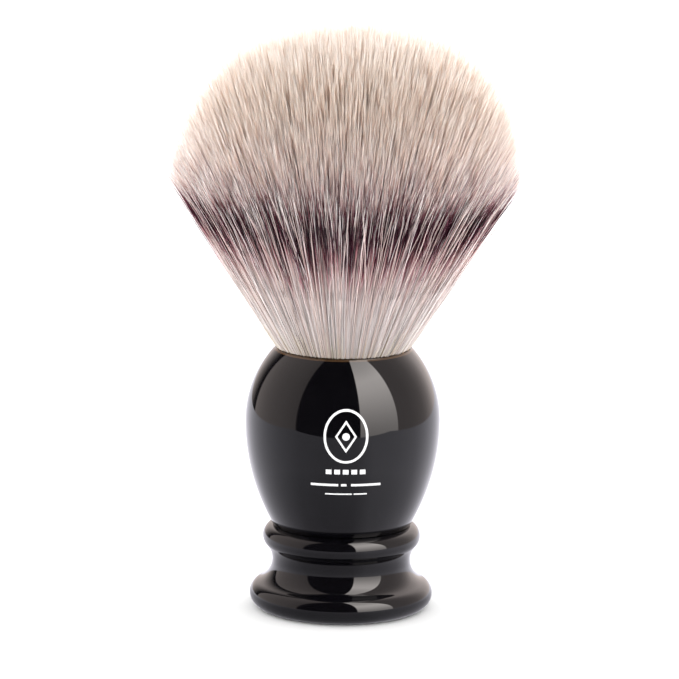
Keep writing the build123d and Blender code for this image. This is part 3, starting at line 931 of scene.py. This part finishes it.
def by_fibre_length(made):
    """Sets the UV of a turned core: across by its turn, up by the distance from the rim, as on the fibres."""
    mesh = made.data
    co = read(mesh.vertices, "co", 3, np.float32) / MM
    index = read(mesh.loops, "vertex_index", 1, np.int32)[:, 0]
    uv = read(mesh.uv_layers[BAKE_UV].data, "uv", 2, np.float32)
    above = np.maximum(co[:, 2] - APEX_Z, 1)
    angle = np.arctan(np.minimum(np.hypot(co[:, 0], co[:, 1]) / above, FLANK_SLOPE))
    distance = np.hypot(np.hypot(co[:, 0], co[:, 1]), above) - (HANDLE_TOP_Z - APEX_Z) / np.cos(angle)
    # The same painted side light as on the fibres narrows the band at the core's left and right.
    distance = colour_distance_with_side_light(distance, np.clip(co[:, 0] / above, -FLANK_SLOPE, FLANK_SLOPE))
    uv[:, 1] = np.clip(distance[index] / FIBRE_SPAN, *V_RANGE)
    mesh.uv_layers[BAKE_UV].data.foreach_set("uv", uv.ravel())


core_fibre = fibre_material("packed_fibre", CORE_COLUMNS)
roots_r, roots_z = WAIST_R - CORE_CLEARANCE, ROOTS_BOTTOM_Z + CORE_CLEARANCE
in_ring_r = FERRULE_BORE_R - CORE_CLEARANCE
socket_part = [(0, roots_z), (roots_r, roots_z), (roots_r, PLUG_TOP_Z), (in_ring_r, PLUG_TOP_Z + WAIST_SPREAD),
               (in_ring_r, FERRULE_TOP_Z), core_side(STRAND_BASE_Z)]
rise = np.linspace(STRAND_BASE_Z, BEND_SPLIT_Z, 14)
lower_side = socket_part[2:] + [core_side(z) for z in rise[1:]]
core_lower = turned("core_lower", [socket_part[:2], socket_part[1:3], lower_side], 360, core_fibre)
top = core_top()
rise = np.linspace(BEND_SPLIT_Z, top[0][1], 16)
upper_side = [core_side(z) for z in rise[:-1]] + top[:-1] + [(0, top[-1][1])]
core_upper = turned("core_upper", [upper_side], 360, core_fibre)
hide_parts("tuft_root")
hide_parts("tuft_mid", "tuft_tip")
for core in (core_lower, core_upper):
    by_fibre_length(core)

for piece in lower_pieces + upper_pieces + [core_lower, core_upper]:
    piece.visible_glossy = False  # the polished bulb shows the studio up to its rim

for piece in lower_pieces + [core_lower]:
    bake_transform(piece)
for piece in upper_pieces + [core_upper]:
    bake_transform(piece)


# ------------ the studio

# The tabletop's left, right, front and back edges.
TABLE_LEFT, TABLE_RIGHT, TABLE_FRONT, TABLE_BACK = -340.0, 300.0, -200.0, 2600.0
TABLE_WHITE = 0.62        # grey enough to show as white, no brighter, under the studio's light
TABLE_GRAIN = 0.01
# The tabletop's painted reflection, as the polished handle mirrors it: its brightness by direction from the brush, in
# degrees round from the camera's side towards +X. It holds a painted shadow of the brush near the foot: the last two
# numbers below give its level at the foot and the distance at which it reaches full brightness.
TABLE_LEVELS = [(-180, 1.6), (-140, 1.7), (-110, 1.3), (-80, 0.92), (-50, 0.62), (-20, 0.55), (15, 0.62),
                (35, 0.95), (60, 1.0), (90, 1.1), (115, 1.5), (140, 1.8), (180, 1.6)]
TABLE_TINT = (1.0, 0.975, 1.06)
FOOT_SHADOW_LEVEL = 0.55
FOOT_SHADOW_REACH = 60.0


def full_turn_ramp(tree, turn, levels):
    """A ramp of levels by degrees for a turn in radians. It gives half of each level, to stay within 1."""
    share = scaled(tree, turn, 1 / (2 * pi), 0.5)
    return ramp(tree, share, [((degrees_round + 180) / 360, level / 2) for degrees_round, level in levels])


def table_material():
    """White board. Its reflection in the polished handle is greyer than what lies behind the brush: a painted
    reflection that glows for mirror rays, with a painted shadow near the foot.
    """
    made, tree, shader = node_material("white_board")
    grain = add(tree, "TexNoise", {"Scale": 500.0}).outputs["Fac"]
    white = ramp(tree, grain, [(0.0, TABLE_WHITE - TABLE_GRAIN), (1.0, TABLE_WHITE + TABLE_GRAIN)])
    fill(tree, shader, {"Base Color": white, "Roughness": 0.9, "Specular IOR Level": 0.0})
    place = add(tree, "NewGeometry").outputs["Position"]
    axes = add(tree, "SeparateXYZ", {0: place})
    turn = maths(tree, "ARCTAN2", axes.outputs["X"], scaled(tree, axes.outputs["Y"], -1.0))
    tint = mixed(tree, 1.0, full_turn_ramp(tree, turn, TABLE_LEVELS), TABLE_TINT, "MULTIPLY")
    # The painted shadow: the mirrored brightness falls towards the brush's foot.
    from_foot = add(tree, "VectorMath", {0: place}, operation="LENGTH").outputs["Value"]
    near = maths(tree, "DIVIDE", from_foot, FOOT_SHADOW_REACH * MM, clamp=True)
    shade = scaled(tree, near, 1 - FOOT_SHADOW_LEVEL, FOOT_SHADOW_LEVEL)
    # The painted reflection: mirror rays see this glow instead of the board's lit colour.
    painted_reflection = add(tree, "Emission", {"Color": tint, "Strength": scaled(tree, shade, 2.0)})
    reflected = add(tree, "LightPath").outputs["Is Glossy Ray"]
    both = add(tree, "MixShader", {0: reflected, 1: shader.outputs[0], 2: painted_reflection.outputs[0]})
    tree.links.new(both.outputs[0], tree.nodes["Material Output"].inputs["Surface"])
    return made


def make_table():
    """The tabletop, one flat face under the brush."""
    mesh = bpy.data.meshes.new("table")
    corners = [(TABLE_LEFT, TABLE_FRONT), (TABLE_RIGHT, TABLE_FRONT), (TABLE_RIGHT, TABLE_BACK),
               (TABLE_LEFT, TABLE_BACK)]
    mesh.from_pydata([(x * MM, y * MM, 0) for x, y in corners], [], [(0, 1, 2, 3)])
    made = new_object("table", mesh, table_material())


# The studio as the polished handle mirrors it: each panel's edges, in degrees round from the camera's side
# towards +X, with its brightness at them. The tall bright window is added to these.
PANELS = [(-180, 1.4), (-158, 1.3), (-147, 0.75), (-137, 0.2), (-133, 0.03), (-128.6, 0.03), (-127.8, 1.04),
          (-100, 1.0), (-75, 0.88), (-57.2, 0.72), (-56.0, 0.02), (20.6, 0.02), (21.4, 0.0), (68.0, 0.0),
          (69.0, 0.86), (90, 0.80), (112, 0.90), (126, 1.25), (142, 1.85), (160, 1.75), (180, 1.4)]
PANEL_TINT = (1.0, 0.88, 0.84)
WINDOW_TINT = (1.0, 0.935, 0.90)
# The window's sides, in degrees round, how wide their soft edges are, and its brightness by degrees above the
# horizon. The ramp holds shares of WINDOW_TOP_LEVEL, to stay within 1.
WINDOW_SIDES = (21.0, 68.5)
WINDOW_SOFTNESS = 0.9
WINDOW_LEVELS = [(-90, 1.2), (-14, 2.2), (0, 3.2), (11, 4.3), (23, 5.8), (36, 7.4), (47, 8.2), (58, 6.6), (70, 5.5)]
WINDOW_TOP_LEVEL = 9.0

# The light that falls on the brush: its level all round, and what it gains from behind, above and either side.
DIFFUSE_LEVEL = 2.7
DIFFUSE_BEHIND = 1.8
DIFFUSE_ABOVE = -1.4
DIFFUSE_BESIDE = 1.95
DIFFUSE_RIGHT = 0.10      # more from the right, and as much less from the left
BACKDROP = (1.1, 1.1, 1.1)  # what the camera sees behind the brush


def window_edge(tree, turn, degrees_round, rising):
    """0 to 1 across an edge of the window, or 1 to 0 where rising is -1."""
    past = maths(tree, "SUBTRACT", turn, radians(degrees_round))
    return scaled(tree, past, rising / radians(WINDOW_SOFTNESS), 0.5, clamp=True)


def make_world():
    """A white studio for what it lights, and for polished surfaces the panels, dark gaps and window round it."""
    world = bpy.data.worlds.new("studio")
    scene.world = world
    world.use_nodes = True
    world.cycles.sampling_method = "NONE"
    tree = world.node_tree
    direction = add(tree, "TexCoord").outputs["Generated"]
    axes = add(tree, "SeparateXYZ", {0: direction})
    toward_camera = scaled(tree, axes.outputs["Y"], -1.0)
    turn = maths(tree, "ARCTAN2", axes.outputs["X"], toward_camera)
    panels = mixed(tree, 1.0, full_turn_ramp(tree, turn, PANELS), tuple(2 * c for c in PANEL_TINT), "MULTIPLY")
    left, right = WINDOW_SIDES
    is_window = scaled(tree, window_edge(tree, turn, left, 1), window_edge(tree, turn, right, -1))
    height = maths(tree, "DIVIDE", maths(tree, "ARCSINE", axes.outputs["Z"]), pi)
    height = maths(tree, "ADD", height, 0.5)
    levels = ramp(tree, height, [((h + 90) / 180, level / WINDOW_TOP_LEVEL) for h, level in WINDOW_LEVELS])
    tint = tuple(WINDOW_TOP_LEVEL * c for c in WINDOW_TINT)
    window = mixed(tree, 1.0, levels, tint, "MULTIPLY")
    mirrored = mixed(tree, is_window, panels, window)
    reflected = add(tree, "LightPath").outputs["Is Glossy Ray"]
    level = scaled(tree, toward_camera, -DIFFUSE_BEHIND, DIFFUSE_LEVEL)
    level = scaled(tree, maths(tree, "MAXIMUM", axes.outputs["Z"], 0.0), DIFFUSE_ABOVE, level)
    level = scaled(tree, maths(tree, "ABSOLUTE", axes.outputs["X"]), DIFFUSE_BESIDE, level)
    level = scaled(tree, axes.outputs["X"], DIFFUSE_RIGHT, level)
    colour = mixed(tree, reflected, grey(tree, level), mirrored)
    camera_ray = add(tree, "LightPath").outputs["Is Camera Ray"]
    colour = mixed(tree, camera_ray, colour, BACKDROP)
    tree.links.new(colour, tree.nodes["Background"].inputs["Color"])


CAMERA_LENS = 260.5
CAMERA_PLACE = (-0.67, -800.0, 208.1)
CAMERA_DOWN = 11.5        # degrees below the horizon
CAMERA_ROLL = 0.6         # degrees about its line of sight


def make_camera():
    """A long lens in front of the brush and a little above it."""
    data = bpy.data.cameras.new("camera")
    data.sensor_width = 36.0
    data.lens = CAMERA_LENS
    data.clip_start, data.clip_end = 0.05, 20.0
    made = bpy.data.objects.new("camera", data)
    made.rotation_mode = "XYZ"
    made.location = [value * MM for value in CAMERA_PLACE]
    made.rotation_euler = (radians(90 - CAMERA_DOWN), 0.0, 0.0)
    made.rotation_euler.rotate_axis("Z", radians(CAMERA_ROLL))
    scene.collection.objects.link(made)
    bpy.context.scene.camera = made


make_table()
make_world()
make_camera()
scene.view_settings.view_transform = "Standard"
